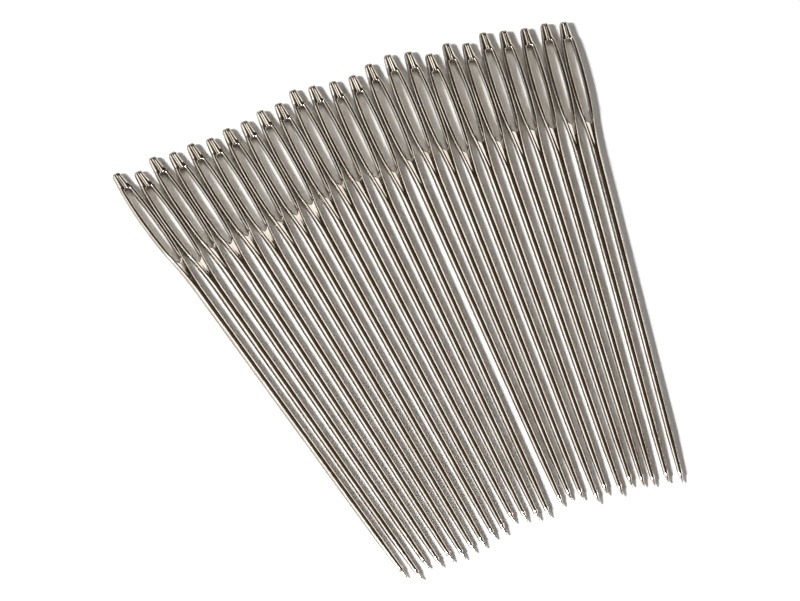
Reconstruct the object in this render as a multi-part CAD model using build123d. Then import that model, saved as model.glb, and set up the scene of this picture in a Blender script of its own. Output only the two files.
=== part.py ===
from build123d import *
import os
from math import asin, atan, copysign, cos, degrees, pi, radians, sin

# Twenty-five large-eye yarn needles, laid side by side in a fan on a table.
# Each needle is one piece of nickel-plated steel wire. Its head is pressed flat, punched for a long
# eye and pressed with gutters on both faces, and its other end is ground to a short point.
# Lengths are in millimetres. +Z is up, the eyes lie towards +Y and the points towards -Y.
# The origin is on the table, under the middle of the fan's box.
# Distances along a needle are counted from its crown, which is the blunt end above the eye.

# One needle, end to end
NEEDLE_LENGTH = 60.0

# The round shaft, thickest under the neck and tapering evenly to where the point begins
NECK_DIAMETER = 1.07
SHAFT_END_DIAMETER = 0.84

# The ground end: a slender taper, then a short steep point with a blunt tip
TAPER_LENGTH = 5.0
POINT_LENGTH = 1.1
POINT_DIAMETER = 0.56
TIP_DIAMETER = 0.12

# The crown above the eye, a blunt end with sloped shoulders
CROWN_LENGTH = 2.35
CROWN_WIDTH = 1.04
CROWN_FLAT_WIDTH = 0.6
CROWN_SHOULDER_LENGTH = 0.3

# The eye: the outside of its two rims, their thickness, and the opening punched between them
EYE_LENGTH = 10.85
EYE_WIDTH = 2.04
EYE_THICKNESS = 0.88
RIM_WIDTH = 0.5
EYE_WIDEST_SHARE = 0.47  # of the eye's length, from its top
EYE_TOP_SHARE = 0.76  # width of the opening's top end, of the opening's width
EYE_FOOT_SHARE = 0.52  # width where the opening's foot begins, of the opening's width
EYE_CORNER_SHARE = 0.7  # how far the top end's corners are cut off, of half its width
EYE_POINT_SHARE = 1.5  # how far the foot reaches down to its point, of half its width

# The neck below the eye, where the flat head turns into the round shaft in narrow facets
FLAT_MARGIN = 0.25  # from the eye's foot to where the neck begins
NECK_WIDTH = 1.42  # across the head where the neck begins
NECK_LENGTH = 4.4
NECK_CORNERS = 12  # corners of the neck's section where it meets the shaft

# V-shaped gutters on both faces, which let the yarn lie flush: over the crown and down the neck
CROWN_GUTTER_WIDTH = 0.5
CROWN_GUTTER_DEPTH = 0.2
NECK_GUTTER_WIDTH = 0.8
NECK_GUTTER_DEPTH = 0.27
NECK_GUTTER_END_SHARE = 0.06  # size of the neck gutter's far end, of its size at the eye

# How far a cutter runs on past the steel
OVERRUN = 0.5

# The fan: how the needles lie against each other, from the left one to the right one
NEEDLE_COUNT = 25
FIRST_BEARING = 33.0  # degrees from -Y towards +X, of the left needle's point
TURN = 0.9  # degrees between two neighbours
STAGGER = 1.0  # how far a needle lies behind its left neighbour along the shafts
EYE_GAP = 0.1  # clear room between two neighbouring eyes

# How each needle lies to the one on its left, as shares of the turn, the stagger and the gap
TURN_SHARES = (
    1.0, 1.0, 1.0, 1.0, 1.0, 0.95, 1.0, 0.8, 1.05, 0.8, 1.0, 1.15,
    1.2, 0.45, 1.45, 1.15, 0.7, 1.15, 0.7, 0.95, 1.1, 1.35, 0.9, 0.7,
)
STAGGER_SHARES = (
    1.1, -0.75, 0.6, 0.05, 0.4, -0.25, 0.05, -0.45, 0.0, -0.9, 0.4, 0.35,
    0.1, -0.75, -0.4, 0.4, 1.0, -0.75, 0.6, -0.8, 0.35, 0.25, -0.1, 0.25,
)
GAP_SHARES = (
    0.3, 1.0, 0.5, 1.1, 0.7, 0.3, 0.5, 0.3, 0.7, 0.3, 0.5, 1.7,
    1.5, 1.2, 2.3, 1.3, 0.3, 0.5, 0.3, 0.5, 1.1, 1.9, 2.1, 0.3,
)
# How far each needle has rolled over, as a share of the roll that lays one rim on the table
ROLL_SHARES = (
    -0.2, 0.25, -0.35, 0.4, -0.1, 0.3, -0.3, 0.2, 0.5, -0.25, 0.1, -0.4, 0.05,
    0.3, -0.3, 0.2, -0.1, 0.35, -0.5, 0.25, -0.2, 0.1, -0.35, 0.3, -0.05,
)

# Stations along the needle, and sizes that follow from the ones above
eye_top = CROWN_LENGTH
eye_foot = CROWN_LENGTH + EYE_LENGTH
eye_widest = CROWN_LENGTH + EYE_LENGTH * EYE_WIDEST_SHARE
neck_start = eye_foot + FLAT_MARGIN
neck_end = neck_start + NECK_LENGTH
point_start = NEEDLE_LENGTH - POINT_LENGTH
taper_start = point_start - TAPER_LENGTH
opening_width = EYE_WIDTH - RIM_WIDTH * 2
foot_start = eye_foot - opening_width * EYE_FOOT_SHARE / 2 * EYE_POINT_SHARE
shaft_slope = atan((NECK_DIAMETER - SHAFT_END_DIAMETER) / 2 / (taper_start - neck_end))


def eye_outline():
    """The punched opening: a long arc beside each rim, a blunt top end and a pointed foot."""
    top = opening_width * EYE_TOP_SHARE / 2
    foot = opening_width * EYE_FOOT_SHARE / 2
    corner = top * EYE_CORNER_SHARE
    rim = ThreePointArc((top, eye_top + corner), (opening_width / 2, eye_widest), (foot, foot_start))
    half = [Line((top - corner, eye_top), rim @ 0), rim, Line(rim @ 1, (0, eye_foot))]
    other = [mirror(edge, about=Plane.YZ) for edge in half]
    return make_face([*half, *other, Line((corner - top, eye_top), (top - corner, eye_top))])


def head():
    """The spread head with its punched eye, from the crown's end to the neck."""
    crown = (CROWN_FLAT_WIDTH / 2, 0)
    shoulder = (CROWN_WIDTH / 2, CROWN_SHOULDER_LENGTH)
    widest = (EYE_WIDTH / 2, eye_widest)
    neck_corner = (NECK_WIDTH / 2, neck_start)
    half = [Line(crown, shoulder), ThreePointArc(shoulder, widest, neck_corner)]
    other = [mirror(edge, about=Plane.YZ) for edge in half]
    ends = [Line((-width, y), (width, y)) for width, y in (crown, neck_corner)]
    plan = make_face([*half, *other, *ends])
    return extrude(plan - eye_outline(), amount=EYE_THICKNESS / 2, both=True)


def stem():
    """The round wire from the neck to the tip, turned about its axis along Y."""
    corners = [
        (NECK_DIAMETER / 2, neck_end),
        (SHAFT_END_DIAMETER / 2, taper_start),
        (POINT_DIAMETER / 2, point_start),
        (TIP_DIAMETER / 2, NEEDLE_LENGTH),
    ]
    sides = [Bezier(upper, lower) for upper, lower in zip(corners, corners[1:])]
    ends = Polyline(corners[-1], (0, NEEDLE_LENGTH), (0, neck_end), corners[0])
    return revolve(make_face([*sides, *ends.edges()]), Axis.Y)


def faceted(near, far):
    """A flat-sided solid between two outlines whose corners match, one for one."""
    sides = [(near[i - 1], near[i], far[i], far[i - 1]) for i in range(len(near))]
    outlines = [dict.fromkeys(corners) for corners in (near, far, *sides)]
    return Solid(Shell([Face(Wire.make_polygon(outline)) for outline in outlines]))


def neck():
    """The facets between the head's four-sided section and the round shaft."""
    near, far = [], []
    for corner in range(NECK_CORNERS):
        angle = 2 * pi * (corner + 1 / 2) / NECK_CORNERS
        x, z = sin(angle), cos(angle)
        near.append((copysign(NECK_WIDTH / 2, x), neck_start, copysign(EYE_THICKNESS / 2, z)))
        far.append((x * NECK_DIAMETER / 2, neck_end, z * NECK_DIAMETER / 2))
    return faceted(near, far)


def gutter(near, far, width, depth, end_share=1):
    """A V-shaped cutter along a line on the upper face, which may shrink towards its far end."""
    outlines = []
    for (y, z), share in ((near, 1), (far, end_share)):
        corners = [(0, -depth), (width, depth), (-width, depth)]
        outlines.append([(x * share, y, z + rise * share) for x, rise in corners])
    return faceted(*outlines)


def needle():
    """One needle with its axis along Y and its faces towards +Z and -Z."""
    crown_gutter = gutter(
        (-OVERRUN, EYE_THICKNESS / 2),
        (eye_top + OVERRUN, EYE_THICKNESS / 2),
        CROWN_GUTTER_WIDTH,
        CROWN_GUTTER_DEPTH,
    )
    neck_gutter = gutter(
        (foot_start, EYE_THICKNESS / 2),
        (neck_end, NECK_DIAMETER / 2),
        NECK_GUTTER_WIDTH,
        NECK_GUTTER_DEPTH,
        NECK_GUTTER_END_SHARE,
    )
    steel = head() + neck() + stem()
    for cutter in (crown_gutter, neck_gutter):
        steel = steel - cutter - mirror(cutter, about=Plane.XY)
    return steel


def resting_height(station):
    """Height of the axis at a station, with the shaft's underside flat on the table."""
    return NECK_DIAMETER / 2 * cos(shaft_slope) + (neck_end - station) * sin(shaft_slope)


def reach(roll):
    """How far a rolled eye reaches to either side of its axis."""
    return EYE_WIDTH / 2 * cos(roll) + EYE_THICKNESS / 2 * sin(abs(roll))


def fan():
    """Where each needle lies: the middle of its eye, its bearing and its roll, in radians."""
    rim_roll = asin((resting_height(eye_widest) - EYE_THICKNESS / 2) / (EYE_WIDTH / 2))
    eye, bearing = Vector(0, 0, resting_height(eye_widest)), radians(FIRST_BEARING)
    rolls = [share * rim_roll for share in ROLL_SHARES]
    places = [(eye, bearing, rolls[0])]
    steps = zip(TURN_SHARES, STAGGER_SHARES, GAP_SHARES, rolls, rolls[1:])
    for turn, stagger, gap, left_roll, roll in steps:
        middle = bearing - radians(TURN) * turn / 2
        shafts = Vector(sin(middle), -cos(middle), 0)
        across = Vector(cos(middle), sin(middle), 0)
        pitch = reach(left_roll) + EYE_GAP * gap + reach(roll)
        eye += across * pitch + shafts * (STAGGER * stagger)
        bearing -= radians(TURN) * turn
        places.append((eye, bearing, roll))
    return places[:NEEDLE_COUNT]


def laid(solid, eye, bearing, roll):
    """The needle rolled, with its underside laid on the table, and turned to its bearing."""
    centred = Pos(0, -eye_widest, 0) * solid
    rolled = Rot(0, degrees(roll), 0) * centred
    tipped = Rot(-degrees(shaft_slope), 0, 0) * rolled
    return Pos(eye.X, eye.Y, eye.Z) * Rot(0, 0, degrees(pi + bearing)) * tipped


one_needle = needle()
needles = [laid(one_needle, *place) for place in fan()]
box = Compound(needles).bounding_box()
to_origin = Pos(-box.center().X, -box.center().Y, 0)

os.makedirs("parts", exist_ok=True)
for number, solid in enumerate(needles, start=1):
    export_step(to_origin * solid, f"parts/needle_{number:02d}.step")
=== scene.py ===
from math import cos, pi, radians, sin

import bpy
import numpy as np
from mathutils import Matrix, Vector


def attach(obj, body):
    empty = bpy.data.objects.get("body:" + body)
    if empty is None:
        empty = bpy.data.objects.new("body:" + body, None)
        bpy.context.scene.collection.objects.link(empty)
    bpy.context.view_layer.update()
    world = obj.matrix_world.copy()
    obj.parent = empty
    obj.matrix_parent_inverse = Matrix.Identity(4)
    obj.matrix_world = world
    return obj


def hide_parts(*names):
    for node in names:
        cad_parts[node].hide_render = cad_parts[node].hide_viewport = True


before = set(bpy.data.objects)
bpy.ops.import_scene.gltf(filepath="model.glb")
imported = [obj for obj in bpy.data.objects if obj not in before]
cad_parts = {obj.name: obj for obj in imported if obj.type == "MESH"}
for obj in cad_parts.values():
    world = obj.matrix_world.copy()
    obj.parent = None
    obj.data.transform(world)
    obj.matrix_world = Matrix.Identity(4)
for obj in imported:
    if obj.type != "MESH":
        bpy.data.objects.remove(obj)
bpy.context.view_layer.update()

# The camera
# A long lens looks down on the table from the front, from far enough away that the needles
# hardly change in size from one end to the other.
CAMERA_ELEVATION = radians(61)
CAMERA_DISTANCE = 0.66506
CAMERA_LENS = 270
CAMERA_SENSOR = 36
CAMERA_AIM = Vector((0.00067, -0.00058, 0))

camera = bpy.data.objects.new("camera", bpy.data.cameras.new("camera"))
bpy.context.scene.collection.objects.link(camera)
towards_camera = Vector((0, -cos(CAMERA_ELEVATION), sin(CAMERA_ELEVATION)))
camera.location = CAMERA_AIM + towards_camera * CAMERA_DISTANCE
camera.rotation_euler = (pi / 2 - CAMERA_ELEVATION, 0, 0)
camera.data.lens = CAMERA_LENS
camera.data.sensor_width = CAMERA_SENSOR
bpy.context.scene.camera = camera

# The 25 yarn needles
# Each is one length of steel wire. Its head is pressed flat, punched with a long eye and pressed
# with a gutter over the crown and another down the neck, on both faces. The shaft is drawn round
# and tapers, the end is ground to a short blunt point, and the whole needle is nickel plated.
MM = 0.001
NEEDLE_SIZES = {
    "Crown end rounding": 0.5 * MM,
    "Crown length": 2.42 * MM,
    "Crown end width": 0.45 * MM,
    "Crown width": 0.95 * MM,
    "Crown gutter width": 0.42 * MM,
    "Crown gutter depth": 0.1 * MM,
    "Head thickness": 0.88 * MM,
    "Eye length": 11.2 * MM,
    "Eye widest": 7.45 * MM,
    "Eye width": 2.04 * MM,
    "Opening width": 1.02 * MM,
    "Opening top width": 0.68 * MM,
    "Opening foot width": 0.54 * MM,
    "Opening corner": 0.62 * MM,
    "Opening point": 0.4 * MM,
    "Rim edge": 0.12 * MM,
    "Lead-in length": 0.55 * MM,
    "Lead-in depth": 0.4 * MM,
    "Neck margin": 0.05 * MM,
    "Neck length": 4.2 * MM,
    "Neck width": 1.42 * MM,
    "Neck gutter width": 0.8 * MM,
    "Neck gutter depth": 0.2 * MM,
    "Shaft top width": 1.07 * MM,
    "Shaft length": 36.03 * MM,
    "Shaft end width": 0.84 * MM,
    "Taper length": 5 * MM,
    "Point width": 0.56 * MM,
    "Point length": 1.1 * MM,
    "Point shoulder": 0.06 * MM,
    "Tip width": 0.12 * MM,
    "Punching wobble": 0.02 * MM,
}
# Rows of faces round half a needle, from the side to the crest, to the gutter and down the punched wall
OUTER_ROWS = 9
INNER_ROWS = 6
WALL_ROWS = 2
# Shares of the sizes above, and how round the curves between them are
RIM_CREST_SHARE = 0.35  # of the rim's width, from the opening out to the rim's crest
RIM_ROUNDNESS = 0.66  # 1 is a half round rim, and less is flatter on top
CREST_LIMIT_SHARE = 0.8  # of half the width, as far out as a crest may lie
RIM_RUN_OUT_SHARE = 3  # of the lead-in's length, over which the rims join again above the eye's foot
CROWN_GUTTER_START_SHARE = 1.6  # of the crown's rounding, over which the gutter grows
NECK_GUTTER_FADE = 1.5  # 1 fades evenly down the neck, and more fades sooner
OPENING_TOP_SQUARENESS = 2.6  # 2 is a round end
OPENING_FOOT_FULLNESS = 1.5  # 1 is a straight-sided V, and more has fuller sides
SHOULDER_SHARE = 0.16  # of the point's length, over which its shoulder is ground
TIP_BLUNTNESS = 12  # 2 is a round tip, and more is flatter
# The punched edge wavers this often in a millimetre, and every needle has its own stretch of it
WOBBLES_PER_MM = 1.6
WOBBLE_APART = 7.3
# How near the middle counts as on it, how near two corners are one, and which folds stay sharp
MIDDLE_MARGIN = 0.0001 * MM
MERGE_DISTANCE = 0.0005 * MM
SHARP_FOLD = radians(42)


class Reading:
    """One socket of a node tree, with the sums that the trees in this file do on it."""

    def __init__(self, tree, socket=None):
        self.tree = tree
        self.socket = socket

    def node(self, kind, settings=None, sockets=None, output=0):
        """Adds a node of any kind to the tree and gives one of its outputs."""
        node = self.tree.nodes.new(kind)
        for name, value in (settings or {}).items():
            setattr(node, name, value)
        for name, value in (sockets or {}).items():
            if isinstance(value, Reading):
                value.into(node.inputs[name])
            else:
                node.inputs[name].default_value = value
        return Reading(self.tree, node.outputs[output])

    def into(self, socket):
        """Links this reading to an input of a node."""
        self.tree.links.new(self.socket, socket)

    def math(self, operation, *values):
        """What the Math node makes of this reading and the values given with it."""
        sockets = dict(enumerate((self, *values)))
        return self.node("ShaderNodeMath", {"operation": operation}, sockets)

    def __add__(self, other):
        return self.math("ADD", other)

    def __radd__(self, other):
        return self.math("ADD", other)

    def __sub__(self, other):
        return self.math("SUBTRACT", other)

    def __rsub__(self, other):
        return self.math("MULTIPLY", -1).math("ADD", other)

    def __mul__(self, other):
        return self.math("MULTIPLY", other)

    def __rmul__(self, other):
        return self.math("MULTIPLY", other)

    def __truediv__(self, other):
        return self.math("DIVIDE", other)

    def __pow__(self, other):
        return self.math("POWER", other)

    def share(self, start, length):
        """How far along a stretch this value is, from 0 before it to 1 after it."""
        return ((self - start) / length).math("MAXIMUM", 0).math("MINIMUM", 1)

    def smooth(self):
        """A share from 0 to 1, with a soft start and a soft end."""
        return self * self * (3 - 2 * self)

    def between(self, start, end):
        """A value that goes from start to end as this share goes from 0 to 1."""
        return (1 - self) * start + self * end

    def round_start(self):
        """A share that rises like the first quarter of a circle."""
        return (1 - (1 - self) ** 2).math("SQRT")

    def part(self, axis):
        """The X, Y or Z of a vector."""
        return self.node("ShaderNodeSeparateXYZ", None, {0: self}, axis)


class NeedleForm:
    """The shape of one needle, which the node tree works out at every station along it."""

    def __init__(self, size):
        self.size = size
        self.eye_top = size["Crown length"]
        self.eye_widest = size["Eye widest"]
        self.eye_foot = self.eye_top + size["Eye length"]
        self.neck_start = self.eye_foot + size["Neck margin"]
        self.neck_end = self.neck_start + size["Neck length"]
        self.taper_start = self.neck_end + size["Shaft length"]
        self.point_start = self.taper_start + size["Taper length"]
        rounding = size["Crown end rounding"]
        lead_in = size["Lead-in length"]
        corner = size["Opening corner"]
        foot = size["Opening point"]
        # From the crown to the tip: length, rows of faces, and the end at which the rows crowd
        self.stretches = (
            (rounding, 9, "start"),
            (self.eye_top - rounding - lead_in, 7, "even"),
            (lead_in, 9, "end"),
            (corner, 9, "start"),
            (size["Eye length"] - corner - foot, 44, "even"),
            (foot, 10, "even"),
            (self.neck_end - self.eye_foot, 30, "even"),
            (size["Shaft length"], 30, "even"),
            (size["Taper length"], 12, "even"),
            (size["Point length"], 14, "end"),
        )
        self.rows = sum(count for length, count, crowding in self.stretches)

    def shape(self, row):
        """Works out everything that changes along the needle, from a corner's row."""
        self.station = self.station_of(row)
        self.half_width, self.thickness = self.outline()
        self.opening = self.punched_eye()
        self.in_eye = self.rims_apart()
        self.below_eye = self.station.share(self.eye_widest, self.size["Lead-in length"])
        self.crest = self.rim_crest()
        self.valley = self.gutter_ground()

    def station_of(self, row):
        """How far a row of corners lies from the end of the crown."""
        station = 0
        start = 0
        for length, count, crowding in self.stretches:
            share = row.share(start, count)
            if crowding == "start":
                share = 1 - (share * (pi / 2)).math("COSINE")
            if crowding == "end":
                share = (share * (pi / 2)).math("SINE")
            station = share * length + station
            start += count
        return station

    def outline(self):
        """Half the width and half the thickness, as if there were no eye and no gutters."""
        size, station = self.size, self.station
        # The head narrows more and more above and below its widest place, and its end is rounded off
        above = (self.eye_widest - station).math("MAXIMUM", 0) / self.eye_widest
        below = (station - self.eye_widest).math("MAXIMUM", 0) / (self.neck_start - self.eye_widest)
        below = below.math("MINIMUM", 1)
        crown_drop = (size["Eye width"] - size["Crown width"]) / 2
        neck_drop = (size["Eye width"] - size["Neck width"]) / 2
        head = size["Eye width"] / 2 - crown_drop * above * above - neck_drop * below * below
        ending = station.share(0, size["Crown end rounding"]).round_start()
        crown_end = size["Crown end width"] / size["Crown width"]
        head = head * ending.between(crown_end, 1)

        # The stem is the shaft, then the slender taper, then the point behind its ground shoulder
        shaft = station.share(self.neck_end, size["Shaft length"])
        taper = station.share(self.taper_start, size["Taper length"])
        point = station.share(self.point_start, size["Point length"])
        stem = shaft.between(size["Shaft top width"] / 2, size["Shaft end width"] / 2)
        stem = taper.between(stem, size["Point width"] / 2)
        stem = stem - point.share(0, SHOULDER_SHARE).smooth() * size["Point shoulder"]
        stem = point.between(stem, size["Tip width"] / 2)

        # Down the neck the width leaves the head's at once, and the thickness leaves it softly
        neck = station.share(self.neck_start, size["Neck length"])
        blunt = (1 - point ** TIP_BLUNTNESS).math("SQRT")
        half_width = (neck * (2 - neck)).between(head, stem) * blunt
        thickness = neck.smooth().between(size["Head thickness"] / 2, stem) * blunt * ending
        return half_width, thickness

    def punched_eye(self):
        """Half the width of the opening, with the small wobble of its punched edge."""
        size, station = self.size, self.station
        above = (self.eye_widest - station).math("MAXIMUM", 0) / (self.eye_widest - self.eye_top)
        below = (station - self.eye_widest).math("MAXIMUM", 0) / (self.eye_foot - self.eye_widest)
        top_drop = (size["Opening width"] - size["Opening top width"]) / 2
        foot_drop = (size["Opening width"] - size["Opening foot width"]) / 2
        opening = size["Opening width"] / 2 - top_drop * above * above
        opening = opening - foot_drop * below * below

        place = {"X": station * (WOBBLES_PER_MM / MM), "Y": size["Needle number"] * WOBBLE_APART}
        along_edge = station.node("ShaderNodeCombineXYZ", None, place)
        noise = {"Vector": along_edge, "Scale": 1.0, "Detail": 3.0}
        wobble = station.node("ShaderNodeTexNoise", {"noise_dimensions": "2D"}, noise)
        opening = opening + (wobble - 0.5) * size["Punching wobble"]

        top = 1 - (1 - station.share(self.eye_top, size["Opening corner"])) ** OPENING_TOP_SQUARENESS
        top = top.math("MAXIMUM", 0) ** (1 / OPENING_TOP_SQUARENESS)
        foot = station.share(self.eye_foot, size["Opening point"] * -1)
        foot = 1 - (1 - foot) ** OPENING_FOOT_FULLNESS
        return opening * top * foot

    def rims_apart(self):
        """1 beside the eye, where the head is two rims, and 0 where it is in one piece."""
        lead_in = self.size["Lead-in length"]
        run_out = lead_in * RIM_RUN_OUT_SHARE
        parting = self.station.share(self.eye_top - lead_in, lead_in).smooth()
        joining = self.station.share(self.eye_foot - run_out, run_out).smooth()
        return parting * (1 - joining)

    def down_neck(self):
        """1 down to the eye's foot, and falling to 0 at the end of the neck."""
        return 1 - self.station.share(self.eye_foot, self.neck_end - self.eye_foot)

    def rim_crest(self):
        """How far from the middle the highest line of the rim or of the gutter's bank lies."""
        size = self.size
        gutter = self.below_eye.between(size["Crown gutter width"], size["Neck gutter width"]) / 2
        gutter = gutter * self.down_neck()
        rim = self.half_width * RIM_CREST_SHARE + self.opening * (1 - RIM_CREST_SHARE)
        crest = self.in_eye.between(gutter, rim)
        return crest.math("MINIMUM", self.half_width * CREST_LIMIT_SHARE)

    def gutter_ground(self):
        """The height of the gutter's ground, or of the rim's inner edge beside the eye."""
        size, station = self.size, self.station
        lead_in = size["Lead-in length"]
        rounding = size["Crown end rounding"]
        grown = station.share(0, rounding * CROWN_GUTTER_START_SHARE).smooth()
        over_crown = grown * size["Crown gutter depth"]
        down_neck = size["Neck gutter depth"] * self.down_neck() ** NECK_GUTTER_FADE
        drop = self.in_eye.between(self.below_eye.between(over_crown, down_neck), size["Rim edge"])
        # The lead-in sinks along a quarter of a circle to the top of the eye
        sunk = station.share(self.eye_top - lead_in, lead_in)
        sunk = 1 - (1 - sunk * sunk).math("MAXIMUM", 0).math("SQRT")
        past = station.share(self.eye_top, lead_in).smooth()
        drop = (sunk * (1 - past)).between(drop, size["Lead-in depth"])
        drop = drop * station.share(0, rounding).round_start()
        return (self.thickness - drop).math("MAXIMUM", 0)

    def corner(self, step):
        """Where a corner lies, by its step from the lower gutter round the side to the upper one.

        The last steps go down the punched wall.
        """
        round_step = step - (OUTER_ROWS + INNER_ROWS)
        from_side = round_step.math("ABSOLUTE")
        outer = (1 - from_side / OUTER_ROWS).math("MAXIMUM", 0) * (pi / 2)
        inner = from_side.share(OUTER_ROWS, INNER_ROWS)
        wall = round_step.share(OUTER_ROWS + INNER_ROWS, WALL_ROWS)
        rolled = inner * (pi / 2)
        inwards = self.in_eye.between(inner, rolled.math("SINE"))
        bank = self.below_eye.between(inner.smooth(), inner)
        down = self.in_eye.between(bank, 1 - rolled.math("COSINE"))
        roundness = self.in_eye.between(1, RIM_ROUNDNESS)
        outwards = outer.math("SINE") ** roundness
        upwards = outer.math("COSINE").math("MAXIMUM", 0) ** roundness
        across = self.crest + (self.half_width - self.crest) * outwards
        across = across - (self.crest - self.opening) * inwards
        height = self.thickness * upwards - (self.thickness - self.valley) * down
        up = round_step.math("SIGN") * height * (1 - 2 * wall)
        return step.node("ShaderNodeCombineXYZ", None, {"X": across, "Y": self.station, "Z": up})


def half_needle(size):
    """A flat grid of faces, folded round half of the needle and left open along its middle."""
    form = NeedleForm(size)
    around = 2 * OUTER_ROWS + 2 * INNER_ROWS + WALL_ROWS
    cells = {"Size X": form.rows, "Size Y": around, "Vertices X": form.rows + 1, "Vertices Y": around + 1}
    grid = size["Metal"].node("GeometryNodeMeshGrid", None, cells)
    spot = grid.node("GeometryNodeInputPosition")
    form.shape(spot.part("X") + form.rows / 2)
    corner = form.corner(spot.part("Y") + around / 2)
    half = grid.node("GeometryNodeSetPosition", None, {"Geometry": grid, "Position": corner})
    in_middle = half.node("GeometryNodeInputPosition").part("X").math("LESS_THAN", MIDDLE_MARGIN)
    inner_faces = {"Geometry": half, "Selection": in_middle}
    return half.node("GeometryNodeDeleteGeometry", {"domain": "FACE"}, inner_faces)


def mirrored(half):
    """Both halves of the needle, joined along the middle, with its sharp folds marked."""
    other = half.node("GeometryNodeTransform", None, {"Geometry": half, "Scale": (-1, 1, 1)})
    other = half.node("GeometryNodeFlipFaces", None, {"Mesh": other})
    joined = half.tree.nodes.new("GeometryNodeJoinGeometry")
    half.into(joined.inputs[0])
    other.into(joined.inputs[0])
    whole = Reading(half.tree, joined.outputs[0])
    merging = {"Geometry": whole, "Distance": MERGE_DISTANCE}
    whole = whole.node("GeometryNodeMergeByDistance", None, merging)
    whole = whole.node("GeometryNodeSetShadeSmooth", None, {"Geometry": whole})
    fold = whole.node("GeometryNodeInputMeshEdgeAngle").math("GREATER_THAN", SHARP_FOLD)
    marking = {"Geometry": whole, "Selection": fold, "Shade Smooth": False}
    return whole.node("GeometryNodeSetShadeSmooth", {"domain": "EDGE"}, marking)


def with_own_place(whole, number):
    """The needle with its own place in millimetres and its number, which its plating follows."""
    spot = whole.node("GeometryNodeInputPosition")
    scaling = {0: spot, "Scale": 1 / MM}
    millimetres = whole.node("ShaderNodeVectorMath", {"operation": "SCALE"}, scaling)
    for name, kind, value in (
        ("needle_mm", "FLOAT_VECTOR", millimetres),
        ("needle_number", "FLOAT", number),
    ):
        whole = whole.node(
            "GeometryNodeStoreNamedAttribute",
            {"data_type": kind, "domain": "POINT"},
            {"Geometry": whole, "Name": name, "Value": value},
        )
    return whole


def laid(whole, size):
    """The needle in its place on the table, made real and given its metal."""
    turn = whole.node(
        "FunctionNodeAxesToRotation",
        {"primary_axis": "Y", "secondary_axis": "Z"},
        {0: size["Point direction"], 1: size["Face direction"]},
    )
    crown = whole.node("GeometryNodePoints", None, {"Position": size["Crown place"]})
    placing = {"Points": crown, "Instance": whole, "Rotation": turn}
    needle = whole.node("GeometryNodeInstanceOnPoints", None, placing)
    needle = whole.node("GeometryNodeRealizeInstances", None, {"Geometry": needle})
    plating = {"Geometry": needle, "Material": size["Metal"]}
    return whole.node("GeometryNodeSetMaterial", None, plating)


def needle_tree():
    """The node tree that makes one needle and lays it in its place."""
    tree = bpy.data.node_groups.new("yarn_needle", "GeometryNodeTree")
    tree.interface.new_socket("Geometry", in_out="OUTPUT", socket_type="NodeSocketGeometry")
    for name, length in NEEDLE_SIZES.items():
        socket = tree.interface.new_socket(name, in_out="INPUT", socket_type="NodeSocketFloat")
        socket.default_value = length
    for name in ("Crown place", "Point direction", "Face direction"):
        tree.interface.new_socket(name, in_out="INPUT", socket_type="NodeSocketVector")
    tree.interface.new_socket("Needle number", in_out="INPUT", socket_type="NodeSocketFloat")
    tree.interface.new_socket("Metal", in_out="INPUT", socket_type="NodeSocketMaterial")
    group = tree.nodes.new("NodeGroupInput")
    size = {socket.name: Reading(tree, socket) for socket in group.outputs if socket.name}
    whole = mirrored(half_needle(size))
    whole = with_own_place(whole, size["Needle number"])
    output = tree.nodes.new("NodeGroupOutput")
    laid(whole, size).into(output.inputs[0])
    return tree


# Polished nickel plate over drawn wire, in lighter and warmer patches that run into each other
NICKEL_LIGHT = (0.77, 0.72, 0.65, 1)
NICKEL_WARM = (0.63, 0.56, 0.47, 1)
NICKEL_SMOOTHEST = 0.07  # roughness where the plate is clean
NICKEL_PITTED = 0.12  # roughness that the pits add
NICKEL_RELIEF = 0.25
NICKEL_RELIEF_DEPTH = 0.03 * MM
# How often the marks repeat in a millimetre across the needle, along it and through it
LINES_PER_MM = (9, 0.5, 9)
PITS_PER_MM = (5, 2.2, 5)
PATCHES_PER_MM = (0.9, 0.25, 0.9)
# How far into its own part of the noise each needle's number moves it
MARKS_APART = (3.1, 17.7, 5.3)


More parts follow.
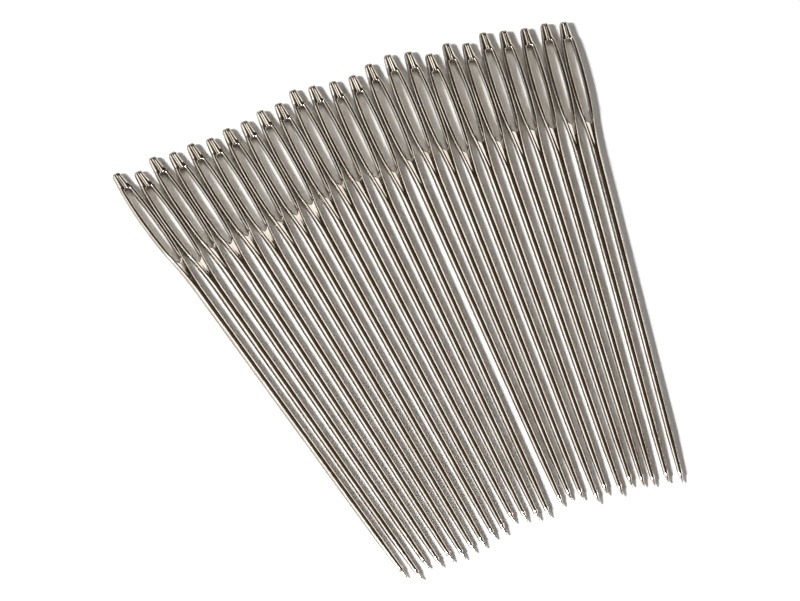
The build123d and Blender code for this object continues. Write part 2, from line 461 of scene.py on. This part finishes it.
def nickel():
    """The plating, with fine lines along the wire, small pits and a warm cast in patches."""
    metal = bpy.data.materials.new("polished_nickel")
    metal.use_nodes = True
    tree = metal.node_tree
    shader = tree.nodes["Principled BSDF"]
    start = Reading(tree)
    place = start.node("ShaderNodeAttribute", {"attribute_name": "needle_mm"}, None, "Vector")
    number = start.node("ShaderNodeAttribute", {"attribute_name": "needle_number"}, None, "Fac")
    steps = {axis: number * distance for axis, distance in zip("XYZ", MARKS_APART)}
    apart = start.node("ShaderNodeCombineXYZ", None, steps)
    own = start.node("ShaderNodeVectorMath", {"operation": "ADD"}, {0: place, 1: apart})

    def noise(per_mm, detail, roughness):
        spread = own.node("ShaderNodeVectorMath", {"operation": "MULTIPLY"}, {0: own, 1: per_mm})
        sockets = {"Vector": spread, "Scale": 1.0, "Detail": detail, "Roughness": roughness}
        return own.node("ShaderNodeTexNoise", None, sockets)

    lines = noise(LINES_PER_MM, detail=3, roughness=0.6)
    pits = noise(PITS_PER_MM, detail=4, roughness=0.6)
    patches = noise(PATCHES_PER_MM, detail=2, roughness=0.5)
    # The Mix node's colours are its seventh and eighth inputs and its third output
    tones = {0: patches.share(start=0.35, length=0.3), 6: NICKEL_LIGHT, 7: NICKEL_WARM}
    tone = own.node("ShaderNodeMix", {"data_type": "RGBA"}, tones, 2)
    tone.into(shader.inputs["Base Color"])
    shader.inputs["Metallic"].default_value = 1
    rough = NICKEL_SMOOTHEST + pits.share(start=0.4, length=0.3) * NICKEL_PITTED
    rough.into(shader.inputs["Roughness"])
    relief = {"Strength": NICKEL_RELIEF, "Distance": NICKEL_RELIEF_DEPTH, "Height": (lines + pits) / 2}
    bump = own.node("ShaderNodeBump", None, relief, "Normal")
    bump.into(shader.inputs["Normal"])
    return metal


# A flat triangle spreads like three quarters of its area at its middle and a twelfth at each corner
MIDDLE_WEIGHT = 9 / 12
CORNER_WEIGHT = 1 / 12


def lie_of(node):
    """Where a needle of the frame lies: its crown, the way its point looks and the way its face looks."""
    mesh = node.data
    mesh.calc_loop_triangles()
    corners = np.array([vertex.co for vertex in mesh.vertices])
    triangles = np.array([triangle.vertices for triangle in mesh.loop_triangles])
    faces = corners[triangles]
    middles = faces.mean(axis=1)
    sides = np.cross(faces[:, 1] - faces[:, 0], faces[:, 2] - faces[:, 0])
    areas = np.linalg.norm(sides, axis=1)
    centre = (areas[:, None] * middles).sum(axis=0) / areas.sum()
    spread = np.zeros((3, 3))
    weighed = [(MIDDLE_WEIGHT, middles)]
    weighed += [(CORNER_WEIGHT, faces[:, corner]) for corner in range(3)]
    for weight, points in weighed:
        arms = points - centre
        spread += weight * (areas[:, None] * arms).T @ arms
    directions = np.linalg.eigh(spread)[1]
    face, point = directions[:, 0], directions[:, 2]
    reach = (corners - centre) @ point
    if reach.max() < -reach.min():
        point, reach = -point, -reach
    if face[2] < 0:
        face = -face
    return centre + point * reach.min(), point, face


tree = needle_tree()
metal = nickel()
socket_of = {item.name: item.identifier for item in tree.interface.items_tree if item.in_out == "INPUT"}
for number, name in enumerate(sorted(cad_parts), start=1):
    maker = bpy.data.objects.new("maker", bpy.data.meshes.new("maker"))
    bpy.context.scene.collection.objects.link(maker)
    modifier = maker.modifiers.new("needle", "NODES")
    modifier.node_group = tree
    crown, point, face = lie_of(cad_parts[name])
    inputs = {
        "Crown place": list(crown),
        "Point direction": list(point),
        "Face direction": list(face),
        "Needle number": float(number),
        "Metal": metal,
    }
    for input_name, value in inputs.items():
        modifier[socket_of[input_name]] = value
    bpy.context.view_layer.update()
    made = maker.evaluated_get(bpy.context.evaluated_depsgraph_get())
    mesh = bpy.data.meshes.new_from_object(made)
    bpy.data.objects.remove(maker)
    mesh.name = f"yarn_needle_{number:02d}"
    needle = bpy.data.objects.new(mesh.name, mesh)
    bpy.context.scene.collection.objects.link(needle)
    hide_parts(name)
    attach(needle, name)

# The table
# A smooth sheet under all the needles. The camera sees it white where it lies open, and it keeps
# the needles' shadows. The metal sees it about half as light, so that its edges stay dark.
TABLE_SIZE = 1.6
TABLE_WHITE = 0.43
TABLE_SEEN = 2  # how much lighter the camera sees the sheet
TABLE_ROUGHNESS = 0.7
TABLE_SHINE = 0.2

table_mesh = bpy.data.meshes.new("table")
half = TABLE_SIZE / 2
table_corners = [(-half, -half, 0), (half, -half, 0), (half, half, 0), (-half, half, 0)]
table_mesh.from_pydata(table_corners, [], [(0, 1, 2, 3)])
table = bpy.data.objects.new("table", table_mesh)
bpy.context.scene.collection.objects.link(table)
white = bpy.data.materials.new("white_table")
white.use_nodes = True
sheet = white.node_tree.nodes["Principled BSDF"]
by_camera = Reading(white.node_tree).node("ShaderNodeLightPath", None, None, "Is Camera Ray")
by_camera.between(TABLE_WHITE, TABLE_WHITE * TABLE_SEEN).into(sheet.inputs["Base Color"])
sheet.inputs["Roughness"].default_value = TABLE_ROUGHNESS
sheet.inputs["Specular IOR Level"].default_value = TABLE_SHINE
table_mesh.materials.append(white)

# The lamps
# The key stands high at the left, a little to the front, and is small, so that the shadows have
# clear edges. Soft square panels stand low all round the table, and two dim ones hang over it. The
# polished metal mirrors them in long bands.
LAMP_DISTANCE = 0.8
ROOM_COLOUR = (1, 0.72, 0.48, 1)
ROOM_BRIGHTNESS = 0.035


def lamp(name, elevation, bearing, size, brightness):
    """A square lamp at a bearing counted from behind the needles round to their right."""
    light = bpy.data.lights.new(name, "AREA")
    light.shape = "SQUARE"
    light.size = size
    light.energy = brightness * pi * size**2
    holder = bpy.data.objects.new(name, light)
    bpy.context.scene.collection.objects.link(holder)
    level = cos(radians(elevation))
    away = Vector((sin(radians(bearing)) * level, cos(radians(bearing)) * level, sin(radians(elevation))))
    holder.location = away * LAMP_DISTANCE
    holder.rotation_euler = away.to_track_quat("Z", "Y").to_euler()


lamp("key_lamp", elevation=46, bearing=245, size=0.14, brightness=148)
lamp("front_left_lamp", elevation=16, bearing=240, size=0.42, brightness=3.6)
lamp("left_lamp", elevation=24, bearing=267, size=0.6, brightness=1.4)
lamp("back_left_lamp", elevation=20, bearing=300, size=0.45, brightness=0.4)
lamp("back_lamp", elevation=16, bearing=342, size=0.5, brightness=0.7)
lamp("back_right_lamp", elevation=21, bearing=37, size=0.41, brightness=1.3)
lamp("right_lamp", elevation=14, bearing=72, size=0.42, brightness=2.5)
lamp("front_right_lamp", elevation=16, bearing=118, size=0.6, brightness=0.7)
lamp("front_lamp", elevation=18, bearing=165, size=0.6, brightness=0.7)
lamp("upper_lamp", elevation=62, bearing=316, size=0.25, brightness=0.07)
lamp("upper_front_lamp", elevation=68, bearing=185, size=0.42, brightness=0.3)

world = bpy.data.worlds.new("studio")
bpy.context.scene.world = world
world.use_nodes = True
room = world.node_tree.nodes["Background"]
room.inputs["Color"].default_value = ROOM_COLOUR
room.inputs["Strength"].default_value = ROOM_BRIGHTNESS

bpy.context.scene.view_settings.view_transform = "Standard"
